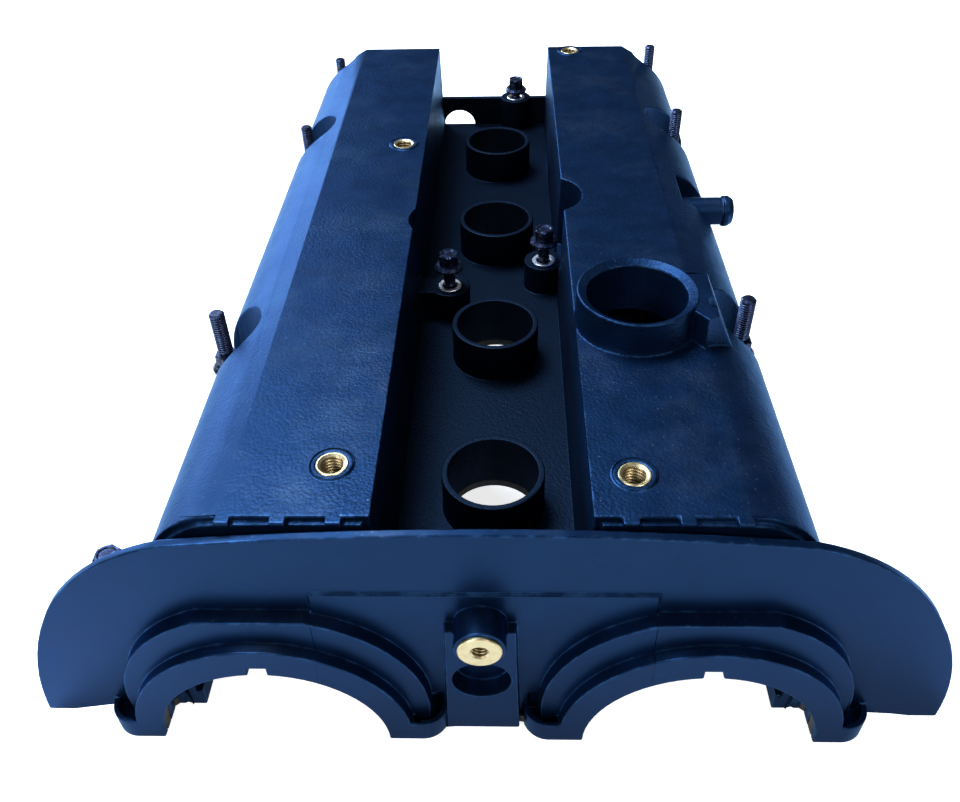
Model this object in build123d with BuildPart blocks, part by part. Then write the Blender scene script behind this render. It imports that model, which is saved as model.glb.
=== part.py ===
from build123d import *
import math
import os

# Valve cover of a twin-cam, four-cylinder engine, in millimetres.
# X runs across the engine, Y runs back along it from the timing end, Z runs up.
# The origin lies on the sealing plane, in the middle of the cover's length and width.
# Distances named *_back are measured from the first spark-plug tube towards the rear.

# Shell
bore_spacing = 87.0        # from one cylinder to the next
plug_count = 4
wall = 3.0                 # general thickness of the moulding
roof_z = 96.0              # tops of the two cam boxes
valley_z = 48.5            # floor of the valley between the boxes
side_x = 104.0             # upright outer sides of the boxes
box_front_back = -48.0     # front ends of the boxes
box_rear_back = 320.5      # rear ends of the boxes
box_top_inner_x = 32.0     # inner edge of each roof
box_foot_inner_x = 30.0    # the inner walls lean by this much down to the sealing plane
shoulder_z = 72.0          # the rounded shoulder runs into the side here
shoulder_in = 1.5          # and stands in from the side by this
front_flat_x = 76.0        # the roof is flat out to here at the front
rear_flat_x = 75.5
front_arc = [(82.2, 95.4), (93.6, 89.0)]    # where the shoulder starts, and a point on its curve
rear_arc = [(86.0, 90.2), (95.6, 83.2)]
ledge_in = 2.4             # ledge on the front of each box, set in from its outline
ledge_t = 1.3
tab_first_x = 42.4         # three small tabs along each roof's front edge
tab_pitch = 16.1
tab_count = 3
tab_w = 4.7
tab_reach = 2.6
tab_t = 2.2
rear_wall_back = 322.0     # rear face of the wall that closes the valley
rear_wall_z = 66.0
window_x = -21.5           # D-shaped opening in that wall
window_r = 9.5

# Rail and gasket
rail_z = 8.0
rail_lip = 8.0             # how far the rail stands out from the sides and the rear wall
seal_w = 3.6
seal_depth = 4.0
seal_room = 0.2            # clearance of the rubber in its groove, each side
seal_land = 1.4            # plastic left between the groove and the rail's edges
seal_keepout_r = 13.5      # the gasket passes round the bolts at this distance
front_keepout_r = 8.5

# Spark-plug tubes
plug_x = 2.5
tube_r = 18.1
tube_wall = 2.3
tube_rim_z = 65.5
tube_foot_z = 44.5         # just below the valley's floor

# Front plate with its two cam openings
plate_t = 3.0
plate_gap = 3.5            # open slot between the boxes and the plate
plate_top_z = 95.0
plate_half_w = 154.5
plate_foot_z = 1.0
plate_shift = 1.0          # its upper outline sits this far to the right
brow_in, brow_drop = 60.0, 5.1       # its outline: where the flat top turns down
bend_in, bend_drop = 32.2, 19.3
cheek_in, cheek_drop = 15.0, 40.7    # and where it steepens into the sides
jaw_in, jaw_drop = 4.3, 65.5
corner_flat = 9.5
leg_rise = 3.4
slot_floor_z = 72.0        # the slot behind the plate is open down to here
pad_half_w = 53.0
pad_top_z = 69.0
pad_t = 0.8
arch_x = 71.5
arch_r = 38.7
arch_lip_r = 47.0
arch_lip_t = 4.1           # front collar, ahead of the broad collar
arch_collar_t = 5.5        # broad collar, ahead of the plate
arch_lip_centre_z = 4.2
collar_top_z = 60.5        # the broad collar is flat-topped
collar_flat = 17.0
collar_outer_rim = 48.0    # its flanks, from the centre of the opening
collar_inner_rim = 53.0
notch_w = 6.0
notch_h = 3.5
notch_depth = 3.0
foot_z = 9.5
foot_outer = 57.0          # outer foot, from the centre of its opening
foot_inner = 59.0
foot_round = 8.8
cup_gap = 0.6              # the cups start this far beyond the lip
cup_rim = 2.0
cup_floor = 1.3            # plastic between a cup and the gasket's groove

# Boss in the middle of the plate
boss_x = -1.0
boss_r = 8.1
boss_z = 55.7
column_top_w = 22.2        # upright block under the boss, a little wider at its foot
column_foot_w = 25.0
column_t = 5.0
boss_t = 6.0               # how far the boss stands ahead of the block
column_hole_r = 9.5
column_hole_z = 29.3

# Filler neck
neck_x = 53.5
neck_back = 46.5
neck_r = 21.5
neck_bore_r = 17.9
neck_z = 109.0
neck_foot_z = 88.0
neck_flare = 1.2
neck_chamfer = 1.6         # depth of the broad chamfer inside the mouth
neck_land = 0.5            # flat rim left outside it

# Breather nipple
nipple_back = 153.0
nipple_z = 80.0
nipple_r = 6.25
nipple_barb_r = 7.0
nipple_tip_r = 5.5
nipple_bore_r = 3.6
nipple_barb_x = 106.3
nipple_tip_x = 111.0
nipple_taper = 2.2
pocket_x = 85.5            # the nipple stands in an open pocket of the shoulder
pocket_near_back = 142.0
pocket_far_back = 167.0
pocket_z = 71.0

# Web between the neck and the bolt pocket beside it
web_z = 108.0
web_plan = [(71.5, 35.4), (76.0, 29.6), (79.9, 32.4), (86.5, 34.0)]    # its front edge
web_foot_z = 93.5          # it slopes down to the shoulder at its outer end
web_cup_r = 3.5
web_cup_place = (81.0, 40.0)
web_cup_depth = 5.0

# Bolts: x, distance back. Each stands at its own height above its seat, as it was left.
left_bolts = [(-100.3, 51.0), (-97.0, 226.0), (-92.3, box_rear_back)]
right_bolts = [(97.0, 58.5), (95.2, 230.0), (92.3, box_rear_back)]
left_rises = [8.4, 2.1, 2.2]
right_rises = [8.5, 7.1, 7.5]
front_bolt_in = 38.5       # the front pair, in from the corners of the plate
front_bolt_back = -44.0
front_rise = 4.0
valley_left_bolt, valley_left_rise = (-18.2, 120.5), 8.8
valley_right_bolt, valley_right_rise = (24.6, 141.0), 8.9
rear_bolt, rear_rise = (13.3, box_rear_back), 3.5
seat_z = 62.0
rear_seat_z = 66.0
column_r = 9.0
scallop_r = 16.0           # open space over the seats
rear_scallop_r = 10.0
head_gap = 0.6             # kept free round the heads of the front pair
buttress_w = 12.0          # joins each valley column to the wall beside it
shank_l = 63.0
thread_r = 2.95            # M6
waist_r = 2.6
waist_l = 34.0             # plain waist below the flange
hex_flats = 8.0
hex_h = 5.4
flange_r = 6.4
flange_t = 1.5
cone_h = 0.8
cone_r = 5.4
stud_l = 18.5
stud_neck = 1.2
tip_chamfer = 0.7

# Rubber rings under the valley columns and the plug tubes
island_seal_h = 4.0
island_seal_r = 8.4
tube_seal_h = 3.2
tube_seal_lip = 0.9
tube_seal_lip_h = 1.6

# Steel sleeves in the bolt columns
sleeve_bore_r = 3.2
sleeve_r = 4.5
sleeve_flange_r = 5.3
sleeve_flange_t = 0.9

# Brass inserts (M6)
insert_r = 5.0
insert_l = 12.0
insert_bore_r = 2.5
insert_ring_r = 6.75
insert_boss_r = 7.5
insert_boss_l = 16.0
insert_ring_t = 0.4
boss_flange_r = 6.9
boss_flange_t = 1.0
roof_inserts = {"front_left_insert": (-45.8, -27.3), "rear_left_insert": (-42.3, 191.9),
                "front_right_insert": (45.2, -31.5), "rear_right_insert": (44.5, 313.0)}

# Oil baffles
baffle_t = 2.0
baffle_z = 76.0
baffle_gap = 1.0           # between the baffles and the walls round them
baffle_post_r = 3.5
baffle_pin_r = 1.5
baffle_hole_r = 1.7
baffle_post_x = 62.0
baffle_post_backs = [-22.0, 92.0, 185.0, 290.0]
slot_w = 3.0               # drain slots under the filler
slot_l = 24.0
slot_pitch = 7.0
slot_count = 4

# Places along the frame, worked out so that the whole cover is centred on the origin.
collar_front_back = box_front_back - plate_gap - plate_t - arch_collar_t - arch_lip_t
plate_front_back = box_front_back - plate_gap - plate_t
column_front_back = plate_front_back - column_t
boss_front_back = column_front_back - boss_t
first_reach = boss_flange_t - boss_front_back
last_reach = rear_wall_back + rail_lip
first_tube_y = (first_reach - last_reach) / 2


def along(back):
    """Frame Y of a distance measured back from the first spark-plug tube."""
    return first_tube_y + back


def placed(places):
    """Frame X, Y pairs of (x, back) pairs."""
    return [(x, along(back)) for x, back in places]


def cross_plane(back):
    """Upright plane across the cover, facing the front: local axes are X and Z."""
    return Plane.XZ.offset(-along(back))


def slab(x_range, back_range, z_range, mode=Mode.ADD):
    """Plain block between three pairs of coordinates."""
    with Locations((x_range[0], along(back_range[0]), z_range[0])):
        Box(x_range[1] - x_range[0], back_range[1] - back_range[0], z_range[1] - z_range[0],
            align=(Align.MIN, Align.MIN, Align.MIN), mode=mode)


def posts(places, radius, z_from, z_to, mode=Mode.ADD):
    """Upright cylinders at (x, back) places."""
    with Locations(*[(x, y, z_from) for x, y in placed(places)]):
        Cylinder(radius, z_to - z_from, align=(Align.CENTER, Align.CENTER, Align.MIN), mode=mode)


def cones(places, foot_r, top_r, z_from, z_to, mode=Mode.ADD):
    """Upright cones at (x, back) places."""
    with Locations(*[(x, y, z_from) for x, y in placed(places)]):
        Cone(foot_r, top_r, z_to - z_from, align=(Align.CENTER, Align.CENTER, Align.MIN), mode=mode)


plug_places = [(plug_x, i * bore_spacing) for i in range(plug_count)]
side_places = left_bolts + right_bolts
front_pair = [(side * (plate_half_w - front_bolt_in), front_bolt_back) for side in (-1, 1)]
valley_pair = [valley_left_bolt, valley_right_bolt]
rear_pair = [left_bolts[-1], right_bolts[-1]]
pocket_places = left_bolts[:-1] + right_bolts[:-1] + valley_pair
baffle_posts = [(side * baffle_post_x, back) for side in (-1, 1) for back in baffle_post_backs]
chamber_x = side_x - wall
chamber_front_back = box_front_back - plate_gap
mid_y = along(collar_front_back + (arch_collar_t + arch_lip_t) / 2)
front_y = along(front_bolt_back)
bridge_y = along((column_front_back + chamber_front_back) / 2)
bridge_x = column_foot_w / 2
cup_z = seal_depth + seal_room + cup_floor
seal_rear_y = along(box_rear_back - wall)
corner_x = arch_x + arch_r + wall
rail_front_y = along(chamber_front_back)
rail_rear_y = along(rear_wall_back + rail_lip)
rail_inner_x = side_x - seal_w / 2 - seal_land - wall / 2
rail_inner_rear_y = seal_rear_y - seal_w / 2 - seal_land


def box_section(side, back, flat_x, shoulder, foot=0.0, inset=0.0):
    """Section of one cam box: leaning inner wall, flat roof, rounded shoulder, upright side."""
    knee, bow = shoulder
    side_top = (side_x - shoulder_in, shoulder_z)
    with BuildSketch(cross_plane(back)) as section:
        with BuildLine():
            Polyline((side * box_foot_inner_x, foot), (side * box_top_inner_x, roof_z),
                     (side * flat_x, roof_z), (side * knee[0], knee[1]))
            ThreePointArc((side * knee[0], knee[1]), (side * bow[0], bow[1]),
                          (side * side_top[0], side_top[1]))
            Polyline((side * side_top[0], side_top[1]), (side * side_x, seat_z),
                     (side * side_x, foot), (side * box_foot_inner_x, foot))
        make_face()
        if inset:
            offset(amount=-inset, kind=Kind.INTERSECTION, mode=Mode.REPLACE)
    return section.sketch


def cam_box(side, front_back, rear_back, foot=0.0, inset=0.0):
    """One cam box, lofted from its front section to its rear one."""
    front = box_section(side, front_back, front_flat_x, front_arc, foot, inset)
    rear = box_section(side, rear_back, rear_flat_x, rear_arc, foot, inset)
    loft([front.face(), rear.face()], ruled=True)


def cut_pockets(grow=0.0):
    """Take away the spaces over the bolt seats and round the nipple, all grown alike."""
    posts(pocket_places, scallop_r + grow, seat_z - grow, roof_z + 1, mode=Mode.SUBTRACT)
    posts(rear_pair, rear_scallop_r + grow, seat_z - grow, roof_z + 1, mode=Mode.SUBTRACT)
    posts(front_pair, flange_r + head_gap + grow, seat_z - grow, roof_z + 1, mode=Mode.SUBTRACT)
    for x, back in rear_pair:
        low, high = sorted((x - math.copysign(grow, x), math.copysign(side_x + 1, x)))
        slab((low, high), (back - rear_scallop_r - grow, back + 1), (seat_z - grow, roof_z + 1),
             mode=Mode.SUBTRACT)
    slab((pocket_x - grow, side_x + 1), (pocket_near_back - grow, pocket_far_back + grow),
         (pocket_z - grow, roof_z + 1), mode=Mode.SUBTRACT)


# Outer form of the boxes and the valley, with the round pockets above the bolts.
with BuildPart() as shell_form:
    for side in (-1, 1):
        cam_box(side, box_front_back, box_rear_back)
        ledge = box_section(side, box_front_back, front_flat_x, front_arc, inset=ledge_in)
        extrude(ledge, amount=ledge_t)
    slab((-box_top_inner_x, box_top_inner_x), (box_front_back, rear_wall_back), (0, valley_z))
    slab((-side_x, side_x), (chamber_front_back, box_front_back), (0, valley_z))
    for side in (-1, 1):
        low, high = sorted((side * box_top_inner_x, side * side_x))
        slab((low, high), (chamber_front_back, box_front_back), (valley_z, slot_floor_z))
    cut_pockets()

# Plan of the space inside the gasket's line.
with BuildSketch() as sealed_plan:
    with BuildLine():
        Polyline((-corner_x, mid_y), (-2 * bridge_x, mid_y), (-bridge_x, bridge_y),
                 (bridge_x, bridge_y), (2 * bridge_x, mid_y), (corner_x, mid_y),
                 (corner_x, front_y), (side_x, front_y), (side_x, seal_rear_y),
                 (-side_x, seal_rear_y), (-side_x, front_y), (-corner_x, front_y),
                 (-corner_x, mid_y))
    make_face()
    with Locations(*placed(side_places + [rear_bolt])):
        Circle(seal_keepout_r, mode=Mode.SUBTRACT)
    with Locations(*placed(front_pair)):
        Circle(front_keepout_r, mode=Mode.SUBTRACT)

# Rail round the foot of the cover; its inner edge follows the gasket round the bolts.
with BuildPart() as rail_form:
    with BuildSketch():
        with Locations((0, (rail_front_y + rail_rear_y) / 2)):
            RectangleRounded(2 * (side_x + rail_lip), rail_rear_y - rail_front_y, column_r)
        with Locations(*placed(front_pair)):
            Circle(column_r + wall)
    extrude(amount=rail_z)
    with BuildSketch():
        with Locations((0, (rail_front_y + rail_inner_rear_y) / 2)):
            Rectangle(2 * rail_inner_x, rail_inner_rear_y - rail_front_y)
        with Locations(*placed(side_places + [rear_bolt])):
            Circle(seal_keepout_r + seal_w / 2 + seal_land, mode=Mode.SUBTRACT)
    extrude(amount=rail_z, mode=Mode.SUBTRACT)

# What is hollow under the shell: the boxes, the chamber below the valley, and the front bay.
with BuildPart() as hollow_form:
    for side in (-1, 1):
        cam_box(side, box_front_back + wall, box_rear_back - wall, foot=-wall - 1, inset=wall)
    slab((-chamber_x, chamber_x), (chamber_front_back, box_rear_back - wall), (-1, valley_z - wall))
    for side in (-1, 1):
        low, high = sorted((side * (box_top_inner_x + wall), side * chamber_x))
        slab((low, high), (chamber_front_back, box_front_back + wall + 1),
             (-1, slot_floor_z - wall))
    cut_pockets(wall)
    posts(plug_places, tube_r, tube_foot_z, valley_z, mode=Mode.SUBTRACT)
    posts(side_places + front_pair + [rear_bolt], column_r, -1, seat_z, mode=Mode.SUBTRACT)
    posts(valley_pair, column_r, island_seal_h, seat_z, mode=Mode.SUBTRACT)
    posts(roof_inserts.values(), insert_boss_r, roof_z - insert_boss_l, roof_z, mode=Mode.SUBTRACT)
    posts(baffle_posts, baffle_post_r, baffle_z + baffle_t, roof_z, mode=Mode.SUBTRACT)
    posts(baffle_posts, baffle_pin_r, baffle_z - baffle_t, roof_z, mode=Mode.SUBTRACT)
    add(rail_form.part, mode=Mode.SUBTRACT)


def gasket_form(width, height, mode=Mode.ADD):
    """Band along the sealing line, with a half ring up each cam opening."""
    with BuildSketch() as band:
        add(offset(sealed_plan.sketch, amount=width / 2, mode=Mode.PRIVATE))
        add(offset(sealed_plan.sketch, amount=-width / 2, mode=Mode.PRIVATE), mode=Mode.SUBTRACT)
        with Locations((-arch_x, mid_y), (arch_x, mid_y)):
            Rectangle(2 * arch_r, width * 2, mode=Mode.SUBTRACT)
    extrude(band.sketch, amount=height, mode=mode)
    for side in (-1, 1):
        with BuildSketch(Plane.XZ.offset(width / 2 - mid_y)) as half_ring:
            with Locations((side * arch_x, 0)):
                Circle(arch_r + height)
                Circle(arch_r, mode=Mode.SUBTRACT)
            with Locations((side * arch_x, -arch_r)):
                Rectangle(4 * arch_r, 2 * arch_r, mode=Mode.SUBTRACT)
        extrude(half_ring.sketch, amount=-width, mode=mode)


def front_collar(side):
    """Round-topped collar at the very front of one cam opening."""
    with BuildSketch(cross_plane(plate_front_back)) as face:
        with Locations((side * arch_x, arch_lip_centre_z)):
            Circle(arch_lip_r)
        with Locations((side * arch_x, -arch_lip_r)):
            Rectangle(4 * arch_lip_r, 2 * arch_lip_r, mode=Mode.SUBTRACT)
    extrude(face.sketch, amount=arch_collar_t + arch_lip_t)


def broad_collar(side):
    """Wider, flat-topped collar behind it; the flank towards the middle slopes more."""
    x = side * arch_x
    outer = (x + side * collar_outer_rim, foot_z)
    inner = (x - side * collar_inner_rim, foot_z)
    outer_bow = (x + side * 0.75 * collar_outer_rim, 0.8 * collar_top_z)
    inner_bow = (x - side * 0.75 * collar_inner_rim, 0.78 * collar_top_z)
    with BuildSketch(cross_plane(plate_front_back)) as face:
        with BuildLine():
            Line((x - side * collar_flat, collar_top_z), (x + side * collar_flat, collar_top_z))
            ThreePointArc((x + side * collar_flat, collar_top_z), outer_bow, outer)
            Polyline(outer, (outer[0], 0), (inner[0], 0), inner)
            ThreePointArc(inner, inner_bow, (x - side * collar_flat, collar_top_z))
        make_face()
    extrude(face.sketch, amount=arch_collar_t)


def rounded_plan(x_near, x_far, front, back, radius):
    """Rectangle whose front corner at x_far is rounded, as far as its sides allow."""
    width, depth = abs(x_far - x_near), back - front
    with Locations(((x_near + x_far) / 2, (front + back) / 2)):
        Rectangle(width, depth)
    corner = vertices().sort_by_distance((x_far, front, 0))[0]
    fillet(corner, radius=min(radius, 0.95 * width, 0.95 * depth))


def foot(side, toward, reach):
    """Foot beside one cam opening: a rounded front corner and a sunk cup behind its lip."""
    x, out = side * arch_x, side * toward
    front, back = along(collar_front_back), along(plate_front_back)
    with BuildSketch() as plan:
        rounded_plan(x + out * arch_r, x + out * reach, front, back, foot_round)
    extrude(plan.sketch, amount=foot_z)
    with BuildSketch(Plane.XY.offset(cup_z)) as cup:
        rounded_plan(x + out * (arch_lip_r + cup_gap), x + out * (reach - cup_rim),
                     front + cup_rim, back, foot_round - cup_rim)
    extrude(cup.sketch, amount=foot_z, mode=Mode.SUBTRACT)


# Web beside the filler neck: upright in front, sloping down at its outer end.
with BuildPart() as neck_web:
    web_far_back = right_bolts[0][1]
    web_end_x = web_plan[-1][0]
    with BuildSketch(Plane.XY.offset(roof_z - 2 * wall)):
        with BuildLine():
            Polyline(*placed(web_plan), (web_end_x, along(web_far_back)),
                     (web_plan[0][0], along(web_far_back)), placed(web_plan)[0])
        make_face()
        with Locations(*placed(right_bolts[:1])):
            Circle(scallop_r, mode=Mode.SUBTRACT)
    extrude(amount=web_z - roof_z + 2 * wall)
    with BuildSketch(cross_plane(web_far_back)) as slope:
        with BuildLine():
            Polyline((web_plan[-2][0], web_z), (web_end_x, web_foot_z), (web_end_x + 1, web_foot_z),
                     (web_end_x + 1, web_z + 1), (web_plan[-2][0], web_z + 1),
                     (web_plan[-2][0], web_z))
        make_face()
    extrude(amount=web_far_back - web_plan[1][1], mode=Mode.SUBTRACT)
    posts([web_cup_place], web_cup_r, web_z - web_cup_depth, web_z + 1, mode=Mode.SUBTRACT)

with BuildPart() as cover_body:
    add(shell_form.part)
    add(rail_form.part)
    add(hollow_form.part, mode=Mode.SUBTRACT)

    # valley: plug tubes, columns, and the rear wall with its D-shaped window
    posts(plug_places, tube_r, tube_foot_z, tube_rim_z)
    posts(valley_pair, column_r, island_seal_h, seat_z)
    slab((-box_top_inner_x, box_top_inner_x), (rear_wall_back - wall, rear_wall_back),
         (valley_z - wall, rear_wall_z))
    for x, back in valley_pair:
        low, high = sorted((x, math.copysign(box_top_inner_x, x)))
        slab((low, high), (back - buttress_w / 2, back + buttress_w / 2), (valley_z - wall, seat_z))
    posts([rear_bolt], column_r, 0, rear_seat_z)
    with BuildSketch(cross_plane(rear_wall_back + 1)):
        with Locations((window_x, valley_z)):
            Circle(window_r)
        with Locations((window_x, valley_z - window_r)):
            Rectangle(2 * window_r, 2 * window_r, mode=Mode.SUBTRACT)
    extrude(amount=wall + 2, mode=Mode.SUBTRACT)

    # columns for the side and front bolts
    posts(side_places + front_pair, column_r, 0, seat_z)
    for x, back in front_pair:
        low, high = sorted((math.copysign(chamber_x + 1, x), x))
        slab((low, high), (back - column_r / 2, back + column_r / 2), (0, seat_z))

    # tabs along the front edges of the roofs
    for side in (-1, 1):
        for i in range(tab_count):
            x = side * (tab_first_x + i * tab_pitch)
            slab((x - tab_w / 2, x + tab_w / 2), (box_front_back - tab_reach, box_front_back),
                 (roof_z - tab_t, roof_z))

    # front plate with its pad, feet and collars
    with BuildSketch(cross_plane(plate_front_back + plate_t)):
        with BuildLine():
            brows = [(plate_shift + side * (plate_half_w - brow_in), plate_top_z - brow_drop)
                     for side in (-1, 1)]
            ThreePointArc(brows[0], (plate_shift, plate_top_z), brows[1])
            for side, brow in zip((-1, 1), brows):
                bend = (plate_shift + side * (plate_half_w - bend_in), plate_top_z - bend_drop)
                cheek = (plate_shift + side * (plate_half_w - cheek_in), plate_top_z - cheek_drop)
                jaw = (plate_shift + side * (plate_half_w - jaw_in), plate_top_z - jaw_drop)
                corner = (side * plate_half_w, plate_foot_z)
                ThreePointArc(brow, bend, cheek)
                ThreePointArc(cheek, jaw, corner)
                Polyline(corner, (side * (plate_half_w - corner_flat), plate_foot_z),
                         (side * (arch_x + foot_outer), plate_foot_z + leg_rise),
                         (side * (arch_x + foot_outer), 0))
            Line((-arch_x - foot_outer, 0), (arch_x + foot_outer, 0))
        make_face()
    extrude(amount=plate_t)
    slab((-pad_half_w, pad_half_w), (plate_front_back - pad_t, plate_front_back), (0, pad_top_z))
    for side in (-1, 1):
        foot(side, 1, foot_outer)
        foot(side, -1, foot_inner)
        broad_collar(side)
        front_collar(side)

    # middle block and its round boss
    with BuildSketch(cross_plane(plate_front_back)):
        with BuildLine():
            Polyline((boss_x - column_foot_w / 2, 0), (boss_x - column_top_w / 2, boss_z),
                     (boss_x + column_top_w / 2, boss_z), (boss_x + column_foot_w / 2, 0),
                     (boss_x - column_foot_w / 2, 0))
        make_face()
    extrude(amount=column_t)
    with BuildSketch(cross_plane(plate_front_back)):
        with Locations((boss_x, boss_z)):
            Circle(boss_r)
    extrude(amount=column_t + boss_t)
    with BuildSketch(cross_plane(column_front_back - 1)):
        with Locations((boss_x, column_hole_z)):
            Circle(column_hole_r)
    extrude(amount=-(column_t + plate_t / 2 + 1), mode=Mode.SUBTRACT)

    # cam openings, through the collars and the plate, with a small notch over each
    with BuildSketch(cross_plane(chamber_front_back)):
        with Locations((-arch_x, 0), (arch_x, 0)):
            Circle(arch_r)
    extrude(amount=chamber_front_back - collar_front_back, mode=Mode.SUBTRACT)
    for side in (-1, 1):
        slab((side * arch_x - notch_w / 2, side * arch_x + notch_w / 2),
             (collar_front_back, collar_front_back + notch_depth), (arch_r - 1, arch_r + notch_h),
             mode=Mode.SUBTRACT)

    # filler neck
    posts([(neck_x, neck_back)], neck_r, neck_foot_z, neck_z)
    cones([(neck_x, neck_back)], neck_r + neck_flare, neck_r, roof_z - wall, roof_z + 2 * neck_flare)
    add(neck_web.part)
    posts([(neck_x, neck_back)], neck_bore_r, neck_foot_z - wall, neck_z + 1, mode=Mode.SUBTRACT)
    cones([(neck_x, neck_back)], neck_bore_r, neck_r - neck_land, neck_z - neck_chamfer, neck_z,
          mode=Mode.SUBTRACT)

    # breather nipple, pointing out of the right side
    with Locations(Location((pocket_x - 1, along(nipple_back), nipple_z), (0, 90, 0))):
        Cylinder(nipple_r, nipple_barb_x - pocket_x + 1,
                 align=(Align.CENTER, Align.CENTER, Align.MIN))
    with Locations(Location((nipple_barb_x, along(nipple_back), nipple_z), (0, 90, 0))):
        Cylinder(nipple_barb_r, nipple_tip_x - nipple_taper - nipple_barb_x,
                 align=(Align.CENTER, Align.CENTER, Align.MIN))
    with Locations(Location((nipple_tip_x - nipple_taper, along(nipple_back), nipple_z), (0, 90, 0))):
        Cone(nipple_barb_r, nipple_tip_r, nipple_taper, align=(Align.CENTER, Align.CENTER, Align.MIN))
    with Locations(Location((pocket_x - wall - 1, along(nipple_back), nipple_z), (0, 90, 0))):
        Cylinder(nipple_bore_r, nipple_tip_x - pocket_x + wall + 2,
                 align=(Align.CENTER, Align.CENTER, Align.MIN), mode=Mode.SUBTRACT)

    # bores: plug tubes, bolt sleeves, brass inserts, gasket groove
    posts(plug_places, tube_r - tube_wall, -1, tube_rim_z + 1, mode=Mode.SUBTRACT)
    seated = side_places + front_pair + valley_pair
    posts(seated + [rear_bolt], sleeve_r, -1, rear_seat_z + 1, mode=Mode.SUBTRACT)
    posts(seated, sleeve_flange_r, seat_z - sleeve_flange_t, seat_z + 1, mode=Mode.SUBTRACT)
    posts([rear_bolt], sleeve_flange_r, rear_seat_z - sleeve_flange_t, rear_seat_z + 1,
          mode=Mode.SUBTRACT)
    posts(roof_inserts.values(), insert_ring_r, roof_z, roof_z + insert_ring_t)
    posts(roof_inserts.values(), insert_r, roof_z + insert_ring_t - insert_l - 1, roof_z + 1,
          mode=Mode.SUBTRACT)
    with BuildSketch(cross_plane(boss_front_back - 1)):
        with Locations((boss_x, boss_z)):
            Circle(insert_r)
    extrude(amount=-(insert_l + 1), mode=Mode.SUBTRACT)
    gasket_form(seal_w + 2 * seal_room, seal_depth + seal_room, mode=Mode.SUBTRACT)


def keep(part, name):
    """Label a finished piece and write it out."""
    part.label = name
    export_step(part, f"parts/{name}.step")


def roof_insert(x, back):
    """Brass bush with a threaded bore, flush with the ring round it."""
    top = roof_z + insert_ring_t
    with BuildPart() as bush:
        posts([(x, back)], insert_r, top - insert_l, top)
        posts([(x, back)], insert_bore_r, top - insert_l - 1, top + 1, mode=Mode.SUBTRACT)
        cones([(x, back)], insert_bore_r, insert_bore_r + 0.7, top - 0.7, top, mode=Mode.SUBTRACT)
    return bush.part


def sleeve(x, back, seat):
    """Flanged steel sleeve that takes the bolt's clamping load through the plastic."""
    with BuildPart() as tube:
        posts([(x, back)], sleeve_r, 0, seat)
        posts([(x, back)], sleeve_flange_r, seat - sleeve_flange_t, seat)
        posts([(x, back)], sleeve_bore_r, -1, seat + 1, mode=Mode.SUBTRACT)
    return tube.part


def bolt(x, back, under_head, studded=False):
    """Flange bolt with a waist; a studded one carries a second thread on its head."""
    tip = under_head - shank_l
    hex_foot = under_head + flange_t + cone_h
    hex_top = hex_foot + hex_h
    with BuildPart() as body:
        posts([(x, back)], thread_r, tip + tip_chamfer, under_head - waist_l)
        cones([(x, back)], thread_r - tip_chamfer, thread_r, tip, tip + tip_chamfer)
        posts([(x, back)], waist_r, under_head - waist_l, under_head)
        posts([(x, back)], flange_r, under_head, under_head + flange_t)
        cones([(x, back)], flange_r, cone_r, under_head + flange_t, hex_foot)
        with BuildSketch(Plane.XY.offset(hex_foot)) as hexagon:
            with Locations((x, along(back))):
                RegularPolygon(hex_flats / 2, 6, major_radius=False)
        extrude(hexagon.sketch, amount=hex_h)
        if studded:
            posts([(x, back)], waist_r, hex_top, hex_top + stud_neck)
            posts([(x, back)], thread_r, hex_top + stud_neck, hex_top + stud_l - tip_chamfer)
            cones([(x, back)], thread_r, thread_r - tip_chamfer, hex_top + stud_l - tip_chamfer,
                  hex_top + stud_l)
    return body.part


def tube_seal(x, back):
    """Rubber ring on the lower end of a plug tube, with a fatter lip at its foot."""
    inner, foot_z = tube_r - tube_wall, tube_foot_z - tube_seal_h
    with BuildPart() as ring:
        posts([(x, back)], tube_r, foot_z, tube_foot_z)
        posts([(x, back)], tube_r + tube_seal_lip, foot_z, foot_z + tube_seal_lip_h)
        posts([(x, back)], inner, foot_z - 1, tube_foot_z + 1, mode=Mode.SUBTRACT)
    return ring.part


def island_seal(x, back):
    """Rubber ring round the sleeve under a valley column."""
    with BuildPart() as ring:
        posts([(x, back)], island_seal_r, 0, island_seal_h)
        posts([(x, back)], sleeve_r + seal_room, -1, island_seal_h + 1, mode=Mode.SUBTRACT)
    return ring.part


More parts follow.
